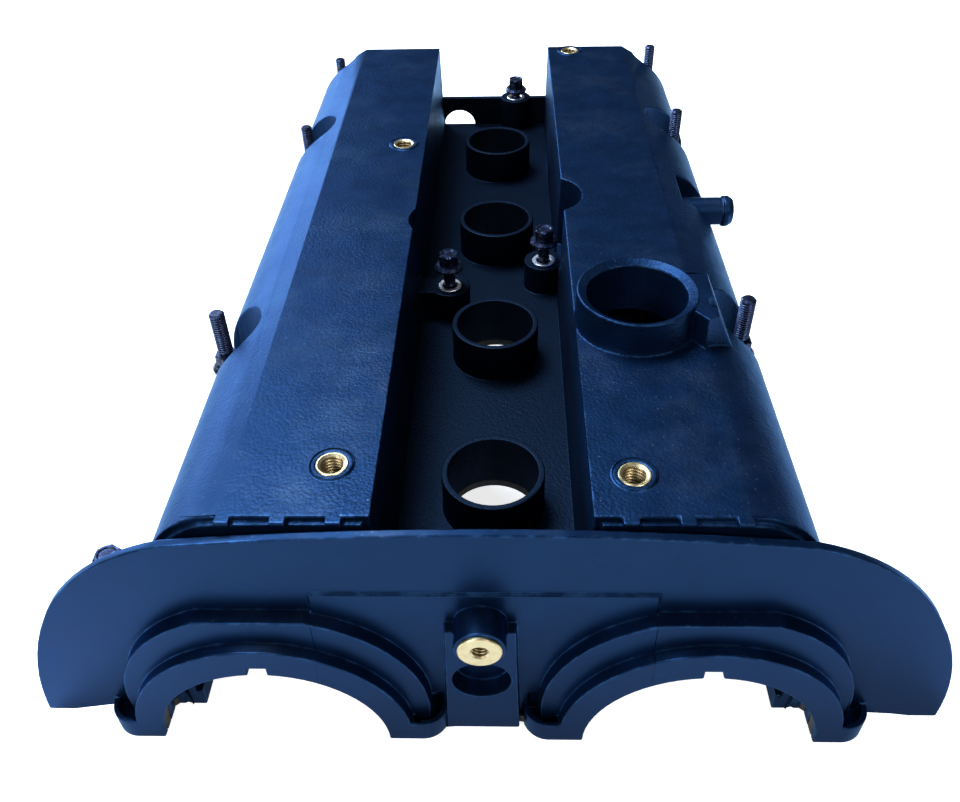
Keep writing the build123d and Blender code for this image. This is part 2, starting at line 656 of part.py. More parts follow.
def baffle(side, slotted):
    """Flat plate under one roof, staked to four posts; slotted under the filler."""
    front, back = along(box_front_back + wall + baffle_gap), along(box_rear_back - wall - baffle_gap)
    inner_x, outer_x = box_top_inner_x + wall + baffle_gap, side_x - 3 * wall - baffle_gap
    clear = wall + baffle_gap
    with BuildPart() as plate:
        with BuildSketch(Plane.XY.offset(baffle_z)) as plan:
            with Locations((side * (inner_x + outer_x) / 2, (front + back) / 2)):
                Rectangle(outer_x - inner_x, back - front)
            with Locations(*placed(pocket_places)):
                Circle(scallop_r + clear, mode=Mode.SUBTRACT)
            with Locations(*placed(rear_pair)):
                Circle(rear_scallop_r + clear, mode=Mode.SUBTRACT)
            with Locations(*[(math.copysign(side_x, x), along(y)) for x, y in rear_pair]):
                Rectangle(2 * (side_x - right_bolts[-1][0] + clear), 2 * (rear_scallop_r + clear),
                          mode=Mode.SUBTRACT)
            with Locations((side_x, along((pocket_near_back + pocket_far_back) / 2))):
                Rectangle(2 * (side_x - pocket_x + clear),
                          pocket_far_back - pocket_near_back + 2 * clear, mode=Mode.SUBTRACT)
            with Locations(*placed(baffle_posts)):
                Circle(baffle_hole_r, mode=Mode.SUBTRACT)
            if slotted:
                with Locations((neck_x, along(neck_back))):
                    with GridLocations(slot_pitch, 1, slot_count, 1):
                        SlotOverall(slot_l, slot_w, rotation=90, mode=Mode.SUBTRACT)
        extrude(amount=baffle_t)
    return plate.part


with BuildPart() as boss_insert:
    with BuildSketch(cross_plane(boss_front_back)):
        with Locations((boss_x, boss_z)):
            Circle(insert_r)
    extrude(amount=-insert_l)
    with BuildSketch(cross_plane(boss_front_back)):
        with Locations((boss_x, boss_z)):
            Circle(boss_flange_r)
    extrude(amount=boss_flange_t)
    with BuildSketch(cross_plane(boss_front_back - boss_flange_t)):
        with Locations((boss_x, boss_z)):
            Circle(insert_bore_r)
    extrude(amount=-(insert_l + boss_flange_t), mode=Mode.SUBTRACT)

with BuildPart() as perimeter_gasket:
    gasket_form(seal_w, seal_depth)

os.makedirs("parts", exist_ok=True)
keep(cover_body.part, "cover_body")
keep(boss_insert.part, "front_boss_insert")
keep(perimeter_gasket.part, "perimeter_gasket")
for name, place in roof_inserts.items():
    keep(roof_insert(*place), name)
for i, place in enumerate(plug_places, start=1):
    keep(tube_seal(*place), f"plug_tube_seal_{i}")
keep(island_seal(*valley_left_bolt), "left_island_seal")
keep(island_seal(*valley_right_bolt), "right_island_seal")
keep(baffle(-1, False), "left_oil_baffle")
keep(baffle(1, True), "right_oil_baffle")
for hand, places, rises in (("left", left_bolts, left_rises), ("right", right_bolts, right_rises)):
    for row, place, rise in zip(("front", "middle", "rear"), places, rises):
        keep(bolt(*place, seat_z + rise, studded=True), f"{row}_{hand}_stud_bolt")
        keep(sleeve(*place, seat_z), f"{row}_{hand}_sleeve")
for hand, place in zip(("left", "right"), front_pair):
    keep(sleeve(*place, seat_z), f"plate_{hand}_sleeve")
keep(bolt(*front_pair[0], seat_z + front_rise), "plate_left_bolt")
keep(bolt(*valley_left_bolt, seat_z + valley_left_rise), "valley_left_bolt")
keep(bolt(*valley_right_bolt, seat_z + valley_right_rise), "valley_right_bolt")
keep(sleeve(*valley_left_bolt, seat_z), "valley_left_sleeve")
keep(sleeve(*valley_right_bolt, seat_z), "valley_right_sleeve")
keep(bolt(*rear_bolt, rear_seat_z + rear_rise), "rear_centre_bolt")
keep(sleeve(*rear_bolt, rear_seat_z), "rear_centre_sleeve")
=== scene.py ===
import bmesh
import bpy
import math
from mathutils import Matrix, Vector
from mathutils.bvhtree import BVHTree


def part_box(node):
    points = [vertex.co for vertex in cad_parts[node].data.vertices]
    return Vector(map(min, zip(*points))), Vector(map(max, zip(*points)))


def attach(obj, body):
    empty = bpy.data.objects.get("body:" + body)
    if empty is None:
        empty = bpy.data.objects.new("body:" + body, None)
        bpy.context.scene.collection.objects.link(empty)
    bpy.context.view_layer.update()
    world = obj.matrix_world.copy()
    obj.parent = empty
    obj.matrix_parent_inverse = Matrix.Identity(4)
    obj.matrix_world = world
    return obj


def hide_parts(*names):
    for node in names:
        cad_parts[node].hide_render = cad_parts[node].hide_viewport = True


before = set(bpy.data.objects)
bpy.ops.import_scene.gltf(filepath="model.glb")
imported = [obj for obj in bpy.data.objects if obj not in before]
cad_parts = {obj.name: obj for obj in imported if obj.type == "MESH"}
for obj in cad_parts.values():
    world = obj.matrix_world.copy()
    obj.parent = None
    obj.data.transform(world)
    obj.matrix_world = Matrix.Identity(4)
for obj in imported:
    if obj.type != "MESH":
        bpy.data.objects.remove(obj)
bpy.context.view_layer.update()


# --- Cover moulding -------------------------------------------------------------------------
# One injection moulding in black glass-filled nylon: two cam boxes, the valley with its plug
# tubes, the front plate, the filler neck and the nipple. Every edge that leaves the mould is
# slightly round, and the outer faces carry a fine leather grain that the glass fibres disturb.
NYLON = (0.0022, 0.0105, 0.0360, 1.0)
NYLON_PALE = (0.0028, 0.0130, 0.0430, 1.0)
# lighter blue for the rounded edges: a painted highlight
NYLON_EDGE_HIGHLIGHT = (0.020, 0.060, 0.150, 1.0)
# darker nylon for the valley and its tubes: painted shade
NYLON_PAINTED_SHADE = (0.0016, 0.0030, 0.0085, 1.0)
NYLON_SHEEN = (0.30, 0.60, 1.0, 1.0)
NYLON_DEPTH = 0.75           # how much of the gloss takes the blue of the nylon
NYLON_DUST = (0.30, 0.36, 0.45, 1.0)
COVER_EDGE = 0.0006
EDGE_SEGMENTS = 2
SHARP = math.radians(28)
FLAT = math.radians(0.4)     # faces that turn by less than this are one face
WELD = 0.000005
RING_TOP_Z = 0.006           # below it the level faces are long rings, which stay triangles
PEBBLE = 0.0011              # one pebble of the leather grain
GRAIN_DEPTH = 0.00016
PLATE_BACK_Y = -0.1815       # the plate in front of this line is polished, the rest is grained
PLATE_GRAIN = 0.12
VALLEY_HALF = 0.0315         # the valley and the tubes in it are left dull, and their colour is darkened as painted shade
VALLEY_FRONT_Y = -0.178
BORDER = 0.001               # width of the change from one finish to the next
TOOL_EDGE_X = 0.0525         # mould tool between the cam openings, a hair proud of the rest
TOOL_TOP_Z = 0.069
TOOL_STEP = 0.0003
TOOL_BORDER = 0.00015
OUTSIDE_VIEWS = [Vector((0, 0, 1)), Vector((0, -0.75, 0.66)), Vector((0, 1, 0.3)),
                 Vector((1, 0, 0.3)), Vector((-1, 0, 0.3))]


def linked(name, mesh):
    """A new object that holds a mesh, in the scene."""
    piece = bpy.data.objects.new(name, mesh)
    bpy.context.scene.collection.objects.link(piece)
    return piece


def plain_mesh(piece):
    """Turn a piece's modifiers into its own mesh."""
    bpy.context.view_layer.update()
    depsgraph = bpy.context.evaluated_depsgraph_get()
    mesh = bpy.data.meshes.new_from_object(piece.evaluated_get(depsgraph))
    piece.modifiers.clear()
    piece.data = mesh
    return mesh


def weigh_outer_edges(work):
    """Give a bevel weight to each sharp edge that can be seen from outside."""
    weight = work.edges.layers.float.new("bevel_weight_edge")
    tree = BVHTree.FromBMesh(work)
    for edge in work.edges:
        if len(edge.link_faces) != 2 or edge.calc_face_angle(0.0) < SHARP:
            continue
        outward = (edge.link_faces[0].normal + edge.link_faces[1].normal).normalized()
        start = (edge.verts[0].co + edge.verts[1].co) / 2 + outward * 0.0004
        if any(tree.ray_cast(start, view)[0] is None for view in OUTSIDE_VIEWS):
            edge[weight] = 1.0


def softened(node, edge):
    """A copy of a CAD node, merged into clean faces, with its outer edges rounded."""
    piece = linked(node + "_finish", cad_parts[node].data.copy())
    piece.data.materials.clear()
    for slot in range(2):
        piece.data.materials.append(None)
    work = bmesh.new()
    work.from_mesh(piece.data)
    bmesh.ops.remove_doubles(work, verts=work.verts, dist=WELD)
    bmesh.ops.dissolve_limit(work, angle_limit=FLAT, verts=work.verts, edges=work.edges,
                             use_dissolve_boundaries=False)
    rings = [face for face in work.faces if abs(face.normal.z) > 0.9
             and max(corner.co.z for corner in face.verts) < RING_TOP_Z]
    bmesh.ops.triangulate(work, faces=rings, ngon_method="EAR_CLIP")
    weigh_outer_edges(work)
    for face in work.faces:
        face.material_index = 0
    work.to_mesh(piece.data)
    work.free()
    rounding = piece.modifiers.new("rounding", "BEVEL")
    rounding.width = edge
    rounding.segments = EDGE_SEGMENTS
    rounding.limit_method = "WEIGHT"
    rounding.use_clamp_overlap = False
    rounding.material = 1
    mesh = plain_mesh(piece)
    rounded = mesh.attributes.new("rounded", "FLOAT", "FACE")
    rounded.data.foreach_set("value", [float(face.material_index == 1) for face in mesh.polygons])
    for face in mesh.polygons:
        face.material_index = 0
    mesh.materials.clear()
    mesh.shade_smooth()
    mesh.set_sharp_from_angle(angle=SHARP)
    levelled = piece.modifiers.new("levelled", "WEIGHTED_NORMAL")
    levelled.keep_sharp = True
    plain_mesh(piece)
    return piece


def shader_group(name, inputs, outputs):
    """A node group with named sockets, and its input and output nodes."""
    group = bpy.data.node_groups.new(name, "ShaderNodeTree")
    for label, kind, value in inputs:
        socket = group.interface.new_socket(label, in_out="INPUT", socket_type="NodeSocket" + kind)
        if value is not None:
            socket.default_value = value
    for label, kind in outputs:
        group.interface.new_socket(label, in_out="OUTPUT", socket_type="NodeSocket" + kind)
    return group, group.nodes.new("NodeGroupInput"), group.nodes.new("NodeGroupOutput")


def maths(tree, operation, first, second=None, clamp=False):
    """A Math node in a tree, fed by sockets or numbers; gives its output socket."""
    node = tree.nodes.new("ShaderNodeMath")
    node.operation = operation
    node.use_clamp = clamp
    for place, value in enumerate((first, second)):
        if value is None:
            continue
        if isinstance(value, (int, float)):
            node.inputs[place].default_value = value
        else:
            tree.links.new(value, node.inputs[place])
    return node.outputs[0]


def ramp(tree, value, low, high, to_low=0.0, to_high=1.0):
    """A smooth step of a value between two limits; gives its output socket."""
    node = tree.nodes.new("ShaderNodeMapRange")
    node.interpolation_type = "SMOOTHSTEP"
    tree.links.new(value, node.inputs["Value"])
    node.inputs["From Min"].default_value = low
    node.inputs["From Max"].default_value = high
    node.inputs["To Min"].default_value = to_low
    node.inputs["To Max"].default_value = to_high
    return node.outputs["Result"]


def noise(tree, vector, size, detail=2.0, roughness=0.5):
    """Noise whose features are about a size in metres; gives its value socket."""
    node = tree.nodes.new("ShaderNodeTexNoise")
    node.inputs["Scale"].default_value = 1.0 / size
    node.inputs["Detail"].default_value = detail
    node.inputs["Roughness"].default_value = roughness
    tree.links.new(vector, node.inputs["Vector"])
    return node.outputs["Fac"]


def grain_group():
    """Leather grain of a spark-eroded mould: soft pebbles, fine fibre marks between them."""
    group, given, result = shader_group(
        "leather_grain", [("Vector", "Vector", None), ("Pebble", "Float", 0.001)],
        [("Height", "Float"), ("Mottle", "Float")])
    vector = given.outputs["Vector"]
    pebbles = group.nodes.new("ShaderNodeTexVoronoi")
    pebbles.feature = "SMOOTH_F1"
    pebbles.inputs["Smoothness"].default_value = 0.6
    group.links.new(vector, pebbles.inputs["Vector"])
    group.links.new(maths(group, "DIVIDE", 1.0, given.outputs["Pebble"]), pebbles.inputs["Scale"])
    fibres = noise(group, vector, 0.00045, 3.0, 0.65)
    patches = ramp(group, noise(group, vector, 0.035, 2.0), 0.35, 0.7, 0.45, 1.0)
    body = maths(group, "ADD", maths(group, "MULTIPLY", pebbles.outputs["Distance"], -0.8),
                 maths(group, "MULTIPLY", fibres, 0.45))
    group.links.new(maths(group, "MULTIPLY", body, patches), result.inputs["Height"])
    group.links.new(noise(group, vector, 0.012, 4.0, 0.6), result.inputs["Mottle"])
    return group


def edge_highlight_group():
    """Painted highlight along the rounded edges: a broken mask along them."""
    group, given, result = shader_group(
        "painted_edge_highlight", [("Vector", "Vector", None), ("Rounded", "Float", 0.0),
                          ("Amount", "Float", 0.5)], [("Mask", "Float")])
    highlight_patches = ramp(group, noise(group, given.outputs["Vector"], 0.006, 4.0, 0.7), 0.42, 0.68)
    mask = maths(group, "MULTIPLY", highlight_patches, given.outputs["Rounded"])
    group.links.new(maths(group, "MULTIPLY", mask, given.outputs["Amount"], clamp=True),
                    result.inputs["Mask"])
    return group


def dust_group():
    """Thin dust that lies on level faces, in specks and faint clouds."""
    group, given, result = shader_group(
        "settled_dust", [("Vector", "Vector", None), ("Amount", "Float", 0.3)], [("Mask", "Float")])
    facing = group.nodes.new("ShaderNodeNewGeometry")
    parts = group.nodes.new("ShaderNodeSeparateXYZ")
    group.links.new(facing.outputs["Normal"], parts.inputs["Vector"])
    level = ramp(group, parts.outputs["Z"], 0.5, 0.95)
    clouds = ramp(group, noise(group, given.outputs["Vector"], 0.03, 5.0, 0.7), 0.45, 0.75, 0.0, 0.35)
    specks = ramp(group, noise(group, given.outputs["Vector"], 0.0012, 2.0, 0.4), 0.68, 0.76)
    lying = maths(group, "MULTIPLY", maths(group, "ADD", clouds, specks, clamp=True), level)
    group.links.new(maths(group, "MULTIPLY", lying, given.outputs["Amount"], clamp=True),
                    result.inputs["Mask"])
    return group


GRAIN, EDGE_HIGHLIGHT, DUST = grain_group(), edge_highlight_group(), dust_group()


def material_tree(name):
    """A new material, its node tree, its main shader, and Object coordinates."""
    material = bpy.data.materials.new(name)
    material.use_nodes = True
    tree = material.node_tree
    coordinates = tree.nodes.new("ShaderNodeTexCoord")
    return material, tree, tree.nodes["Principled BSDF"], coordinates.outputs["Object"]


def placed_group(tree, group, vector, **values):
    """A shared group inside a material, with its own values or links."""
    node = tree.nodes.new("ShaderNodeGroup")
    node.node_tree = group
    tree.links.new(vector, node.inputs["Vector"])
    for label, value in values.items():
        if isinstance(value, float):
            node.inputs[label].default_value = value
        else:
            tree.links.new(value, node.inputs[label])
    return node


def blended(tree, mask, below, above):
    """Two colours or colour sockets mixed by a mask; gives the colour socket."""
    node = tree.nodes.new("ShaderNodeMix")
    node.data_type = "RGBA"
    tree.links.new(mask, node.inputs["Factor"])
    for place, colour in ((6, below), (7, above)):
        if isinstance(colour, tuple):
            node.inputs[place].default_value = colour
        else:
            tree.links.new(colour, node.inputs[place])
    return node.outputs[2]


def raised(tree, shader, height, depth):
    """Bump a surface by a height socket, at full strength over a depth in metres."""
    node = tree.nodes.new("ShaderNodeBump")
    node.inputs["Strength"].default_value = 1.0
    node.inputs["Distance"].default_value = depth
    tree.links.new(height, node.inputs["Height"])
    tree.links.new(node.outputs["Normal"], shader.inputs["Normal"])


def rounded_mask(tree):
    """The rounded faces of a softened piece; gives the value socket."""
    node = tree.nodes.new("ShaderNodeAttribute")
    node.attribute_name = "rounded"
    return node.outputs["Fac"]


def nylon_material():
    """Black nylon: blue in the light, grained on the boxes, polished on the plate, dull between;
    painted shade darkens the valley and its tubes, and a painted highlight runs along the rounded
    edges.
    """
    material, tree, shader, vector = material_tree("black_nylon_moulding")
    parts = tree.nodes.new("ShaderNodeSeparateXYZ")
    tree.links.new(vector, parts.inputs["Vector"])
    beside = maths(tree, "ABSOLUTE", parts.outputs["X"])
    along, above = parts.outputs["Y"], parts.outputs["Z"]
    # mask of the valley and its tubes: a darker colour as painted shade, and a duller finish
    valley_painted_shade_and_dull = maths(tree, "MULTIPLY",
                      ramp(tree, beside, VALLEY_HALF, VALLEY_HALF + BORDER / 2, 1.0, 0.0),
                      ramp(tree, along, VALLEY_FRONT_Y - BORDER, VALLEY_FRONT_Y))
    grained = ramp(tree, along, PLATE_BACK_Y - BORDER, PLATE_BACK_Y + BORDER, PLATE_GRAIN, 1.0)

    grain = placed_group(tree, GRAIN, vector, Pebble=PEBBLE)
    edge_highlight = placed_group(tree, EDGE_HIGHLIGHT, vector, Rounded=rounded_mask(tree), Amount=0.55)
    dust = placed_group(tree, DUST, vector, Amount=0.10)
    mottled = blended(tree, ramp(tree, grain.outputs["Mottle"], 0.35, 0.65), NYLON, NYLON_PALE)
    # rounded edges lightened in patches: a painted highlight
    edge_highlighted = blended(tree, edge_highlight.outputs["Mask"], mottled, NYLON_EDGE_HIGHLIGHT)
    dusty = blended(tree, dust.outputs["Mask"], edge_highlighted, NYLON_DUST)
    # the valley and its tubes take the darker colour: painted shade
    tree.links.new(blended(tree, valley_painted_shade_and_dull, dusty, NYLON_PAINTED_SHADE), shader.inputs["Base Color"])

    gloss = ramp(tree, grain.outputs["Mottle"], 0.3, 0.7, 0.32, 0.37)
    rough = maths(tree, "ADD", gloss, maths(tree, "MULTIPLY", grained, 0.08))
    tree.links.new(maths(tree, "ADD", rough, maths(tree, "MULTIPLY", valley_painted_shade_and_dull, 0.10)),
                   shader.inputs["Roughness"])

    on_tool = ramp(tree, beside, TOOL_EDGE_X - TOOL_BORDER, TOOL_EDGE_X + TOOL_BORDER, TOOL_STEP, 0.0)
    under_pad = ramp(tree, above, TOOL_TOP_Z - BORDER, TOOL_TOP_Z, 1.0, 0.0)
    on_plate = ramp(tree, along, PLATE_BACK_Y - BORDER, PLATE_BACK_Y + BORDER, 1.0, 0.0)
    step = maths(tree, "MULTIPLY", maths(tree, "MULTIPLY", on_tool, under_pad), on_plate)
    pebbled = maths(tree, "MULTIPLY", grain.outputs["Height"], grained)
    relief = maths(tree, "MULTIPLY", pebbled, GRAIN_DEPTH)
    raised(tree, shader, maths(tree, "ADD", relief, step), 1.0)
    shader.inputs["Specular Tint"].default_value = NYLON_SHEEN
    shader.inputs["Metallic"].default_value = NYLON_DEPTH
    return material


nylon = nylon_material()
cover = softened("cover_body", COVER_EDGE)
cover.data.materials.append(nylon)
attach(cover, "cover")
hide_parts("cover_body")


# --- Brass inserts --------------------------------------------------------------------------
# Turned brass bushes with a cut thread, moulded in: four with a wide mouth in the roofs, flush
# with their rings, and one in the front boss, with a flange that stands proud of the plastic.
BRASS = (0.56, 0.45, 0.25, 1.0)
BRASS_DULL = (0.36, 0.25, 0.11, 1.0)
# near black for the thread grooves: painted shade
BRASS_GROOVE_SHADE = (0.050, 0.026, 0.008, 1.0)
INSERT_R = 0.005
ROOF_BORE_R = 0.0036
ROOF_MOUTH_R = 0.0044
ROOF_PITCH = 0.00125
BOSS_BORE_R = 0.0025
BOSS_MOUTH_R = 0.0031
MOUTH_DEPTH = 0.0005
FLANGE_T = 0.001
RIM_BREAK = 0.0002
FLANGE_BREAK = 0.0003
M6_PITCH = 0.001
THREAD_DEPTH = 0.00055
HEX_FLATS = 0.008
AROUND = 48                  # vertices round a turned piece
RINGS_PER_TURN = 12
RUN_OUT_RINGS = 4


def thread_tree():
    """Geometry Nodes that roll a right-handed thread and mill six flats on a turned blank."""
    tree = bpy.data.node_groups.new("rolled_thread", "GeometryNodeTree")
    for label, kind in (("Blank", "Geometry"), ("Pitch", "Float"), ("Depth", "Float"),
                        ("Flats", "Float"), ("Finish", "Material")):
        tree.interface.new_socket(label, in_out="INPUT", socket_type="NodeSocket" + kind)
    tree.interface.new_socket("Turned", in_out="OUTPUT", socket_type="NodeSocketGeometry")
    given, result = tree.nodes.new("NodeGroupInput"), tree.nodes.new("NodeGroupOutput")
    parts = tree.nodes.new("ShaderNodeSeparateXYZ")
    tree.links.new(tree.nodes.new("GeometryNodeInputPosition").outputs[0], parts.inputs[0])
    x, y, z = parts.outputs
    marks = {}
    for label in ("thread", "hexagon"):
        node = tree.nodes.new("GeometryNodeInputNamedAttribute")
        node.data_type = "FLOAT"
        node.inputs["Name"].default_value = label
        marks[label] = node.outputs["Attribute"]
    turn = maths(tree, "ARCTAN2", y, x)
    radius = maths(tree, "SQRT", maths(tree, "ADD", maths(tree, "MULTIPLY", x, x),
                                       maths(tree, "MULTIPLY", y, y)))
    phase = maths(tree, "SUBTRACT", maths(tree, "DIVIDE", z, given.outputs["Pitch"]),
                  maths(tree, "DIVIDE", turn, 2 * math.pi))
    wave = maths(tree, "COSINE", maths(tree, "MULTIPLY", phase, 2 * math.pi))
    groove = maths(tree, "ADD", maths(tree, "MULTIPLY", wave, 0.5), 0.5)
    cut = maths(tree, "MULTIPLY", maths(tree, "MULTIPLY", groove, given.outputs["Depth"]),
                marks["thread"])
    noted = tree.nodes.new("GeometryNodeStoreNamedAttribute")
    noted.inputs["Name"].default_value = "groove"
    tree.links.new(given.outputs["Blank"], noted.inputs["Geometry"])
    tree.links.new(maths(tree, "MULTIPLY", groove, maths(tree, "ABSOLUTE", marks["thread"])),
                   noted.inputs["Value"])
    threaded = maths(tree, "SUBTRACT", radius, cut)
    sixth = tree.nodes.new("ShaderNodeMath")
    sixth.operation = "WRAP"
    tree.links.new(turn, sixth.inputs[0])
    sixth.inputs[1].default_value = math.pi / 6
    sixth.inputs[2].default_value = -math.pi / 6
    flat = maths(tree, "DIVIDE", maths(tree, "MULTIPLY", given.outputs["Flats"], 0.5),
                 maths(tree, "COSINE", sixth.outputs[0]))
    excess = maths(tree, "MAXIMUM", maths(tree, "SUBTRACT", threaded, flat), 0.0)
    milled = maths(tree, "SUBTRACT", threaded, maths(tree, "MULTIPLY", excess, marks["hexagon"]))
    share = maths(tree, "DIVIDE", milled, maths(tree, "MAXIMUM", radius, 0.000001))
    place = tree.nodes.new("ShaderNodeCombineXYZ")
    tree.links.new(maths(tree, "MULTIPLY", x, share), place.inputs[0])
    tree.links.new(maths(tree, "MULTIPLY", y, share), place.inputs[1])
    tree.links.new(z, place.inputs[2])
    shaped = tree.nodes.new("GeometryNodeSetPosition")
    tree.links.new(noted.outputs["Geometry"], shaped.inputs["Geometry"])
    tree.links.new(place.outputs[0], shaped.inputs["Position"])
    real = tree.nodes.new("GeometryNodeRealizeInstances")
    tree.links.new(shaped.outputs["Geometry"], real.inputs["Geometry"])
    finish = tree.nodes.new("GeometryNodeSetMaterial")
    tree.links.new(real.outputs["Geometry"], finish.inputs["Geometry"])
    tree.links.new(given.outputs["Finish"], finish.inputs["Material"])
    tree.links.new(finish.outputs["Geometry"], result.inputs["Turned"])
    return tree


ROLLED_THREAD = thread_tree()


def rings_of(profile, pitch):
    """Rings (height, radius, thread, hexagon) of a profile; threaded runs get many rings."""
    rings = []
    for index, (height, radius, kind) in enumerate(profile):
        cut = {"thread": 1.0, "bore": -1.0}.get(kind, 0.0)
        follows = index + 1 < len(profile) and profile[index + 1][2] == kind
        rings.append((height, radius, 0.0, float(kind == "hex")))
        if cut and follows:
            end_height, end_radius = profile[index + 1][:2]
            count = round(abs(end_height - height) / pitch * RINGS_PER_TURN)
            for step in range(1, count):
                share = step / count
                fade = min(1.0, step / RUN_OUT_RINGS, (count - step) / RUN_OUT_RINGS)
                rings.append((height + share * (end_height - height),
                              radius + share * (end_radius - radius), cut * fade, 0.0))
    return rings


def turned(name, profile, finish, place, pitch=M6_PITCH, tube=False):
    """A turned piece: its profile swept round Z, threaded and milled, then set in its place."""
    rings = rings_of(profile, pitch)
    work = bmesh.new()
    loops = [[work.verts.new((radius * math.cos(2 * math.pi * i / AROUND),
                              radius * math.sin(2 * math.pi * i / AROUND), height))
              for i in range(AROUND)] for height, radius, thread, hexagon in rings]
    pairs = list(zip(loops, loops[1:])) + ([(loops[-1], loops[0])] if tube else [])
    for low, high in pairs:
        for i in range(AROUND):
            j = (i + 1) % AROUND
            work.faces.new((low[i], low[j], high[j], high[i]))
    if not tube:
        work.faces.new(list(reversed(loops[0])))
        work.faces.new(loops[-1])
    bmesh.ops.recalc_face_normals(work, faces=work.faces)
    mesh = bpy.data.meshes.new(name)
    work.to_mesh(mesh)
    work.free()
    along, travelled = [], 0.0
    for index, (height, radius, thread, hexagon) in enumerate(rings):
        if index:
            travelled += math.hypot(height - rings[index - 1][0], radius - rings[index - 1][1])
        along.append(travelled)
    for label, values in (("thread", [ring[2] for ring in rings]),
                          ("hexagon", [ring[3] for ring in rings]), ("lathe", along)):
        attribute = mesh.attributes.new(label, "FLOAT", "POINT")
        attribute.data.foreach_set("value", [value for value in values for i in range(AROUND)])
    piece = linked(name, mesh)
    rolling = piece.modifiers.new("rolling", "NODES")
    rolling.node_group = ROLLED_THREAD
    given = {"Pitch": pitch, "Depth": THREAD_DEPTH, "Flats": HEX_FLATS, "Finish": finish}
    for item in ROLLED_THREAD.interface.items_tree:
        if item.name in given:
            rolling[item.identifier] = given[item.name]
    mesh = plain_mesh(piece)
    mesh.transform(place)
    mesh.shade_smooth()
    mesh.set_sharp_from_angle(angle=SHARP)
    threaded = [point.value != 0.0 for point in mesh.attributes["thread"].data]
    for side in mesh.edges:
        if threaded[side.vertices[0]] and threaded[side.vertices[1]]:
            side.use_edge_sharp = False
    return piece


def lathe_marks(tree, spacing):
    """Fine turning grooves along a turned piece's profile; gives a height socket."""
    node = tree.nodes.new("ShaderNodeAttribute")
    node.attribute_name = "lathe"
    return maths(tree, "SINE", maths(tree, "MULTIPLY", node.outputs["Fac"], 2 * math.pi / spacing))


def groove_mask(tree):
    """How deep a point lies in a thread's groove; gives the value socket."""
    node = tree.nodes.new("ShaderNodeAttribute")
    node.attribute_name = "groove"
    return node.outputs["Fac"]


def brass_material():
    """Bright free-cutting brass with turning marks, a little tarnish in patches, and painted shade in
    its thread grooves.
    """
    material, tree, shader, vector = material_tree("turned_brass")
    tarnish = ramp(tree, noise(tree, vector, 0.003, 4.0, 0.6), 0.45, 0.75, 0.0, 0.45)
    plain = blended(tree, tarnish, BRASS, BRASS_DULL)
    # thread grooves darkened: painted shade
    tree.links.new(blended(tree, groove_mask(tree), plain, BRASS_GROOVE_SHADE), shader.inputs["Base Color"])
    tree.links.new(ramp(tree, noise(tree, vector, 0.001, 3.0), 0.3, 0.7, 0.30, 0.42),
                   shader.inputs["Roughness"])
    raised(tree, shader, lathe_marks(tree, 0.00025), 0.000002)
    shader.inputs["Metallic"].default_value = 1.0
    return material


def middle(node):
    """Centre of a node's box."""
    low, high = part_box(node)
    return (Vector(low) + Vector(high)) / 2


brass = brass_material()
for name in ("front_left_insert", "rear_left_insert", "front_right_insert", "rear_right_insert"):
    low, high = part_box(name)
    depth = high[2] - low[2]
    bush = [(0.0, ROOF_BORE_R, "bore"), (depth - MOUTH_DEPTH, ROOF_BORE_R, "bore"),
            (depth, ROOF_MOUTH_R, ""), (depth, INSERT_R - RIM_BREAK, ""),
            (depth - RIM_BREAK, INSERT_R, ""), (0.0, INSERT_R, "")]
    centre = middle(name)
    piece = turned(name + "_finish", bush, brass,
                   Matrix.Translation((centre.x, centre.y, low[2])), ROOF_PITCH, tube=True)
    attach(piece, "cover")
    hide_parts(name)

low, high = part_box("front_boss_insert")
depth = high[1] - low[1]
flange_r = (high[0] - low[0]) / 2
bush = [(0.0, BOSS_BORE_R, "bore"), (depth - MOUTH_DEPTH, BOSS_BORE_R, "bore"),
        (depth, BOSS_MOUTH_R, ""), (depth, flange_r - FLANGE_BREAK, ""),
        (depth - FLANGE_BREAK, flange_r, ""), (depth - FLANGE_T, flange_r, ""),
        (depth - FLANGE_T, INSERT_R, ""), (0.0, INSERT_R, "")]
centre = middle("front_boss_insert")
boss_insert = turned("front_boss_insert_finish", bush, brass,
                     Matrix.Translation((centre.x, high[1], centre.z))
                     @ Matrix.Rotation(math.radians(90), 4, "X"), tube=True)
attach(boss_insert, "cover")
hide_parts("front_boss_insert")


# --- Oil baffles ----------------------------------------------------------------------------
# Flat nylon plates under each roof, staked over four pins; the right one is slotted under the
# filler so that oil runs through.
def baffle_material():
    """The same nylon, unpolished, with a film of old oil."""
    material, tree, shader, vector = material_tree("oiled_nylon_plate")
    grain = placed_group(tree, GRAIN, vector, Pebble=0.0016)
    film = ramp(tree, noise(tree, vector, 0.02, 4.0, 0.6), 0.4, 0.65)
    tree.links.new(blended(tree, film, NYLON, NYLON_PALE), shader.inputs["Base Color"])
    tree.links.new(ramp(tree, grain.outputs["Mottle"], 0.35, 0.65, 0.35, 0.55),
                   shader.inputs["Roughness"])
    raised(tree, shader, grain.outputs["Height"], GRAIN_DEPTH)
    shader.inputs["Specular Tint"].default_value = NYLON_SHEEN
    return material


THIN_EDGE = 0.0003
baffle_nylon = baffle_material()
for name in ("left_oil_baffle", "right_oil_baffle"):
    piece = softened(name, THIN_EDGE)
    piece.data.materials.append(baffle_nylon)
    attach(piece, "cover")
    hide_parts(name)


# --- Rubber seals ---------------------------------------------------------------------------
# Moulded rubber: one gasket in the groove of the rail and over both cam openings, a ring under
# each valley column and a lipped ring on the foot of each plug tube. They are pushed in.
RUBBER = (0.012, 0.012, 0.014, 1.0)
RUBBER_BLOOM = (0.040, 0.041, 0.044, 1.0)
RUBBER_DUST = (0.2, 0.2, 0.2, 1.0)


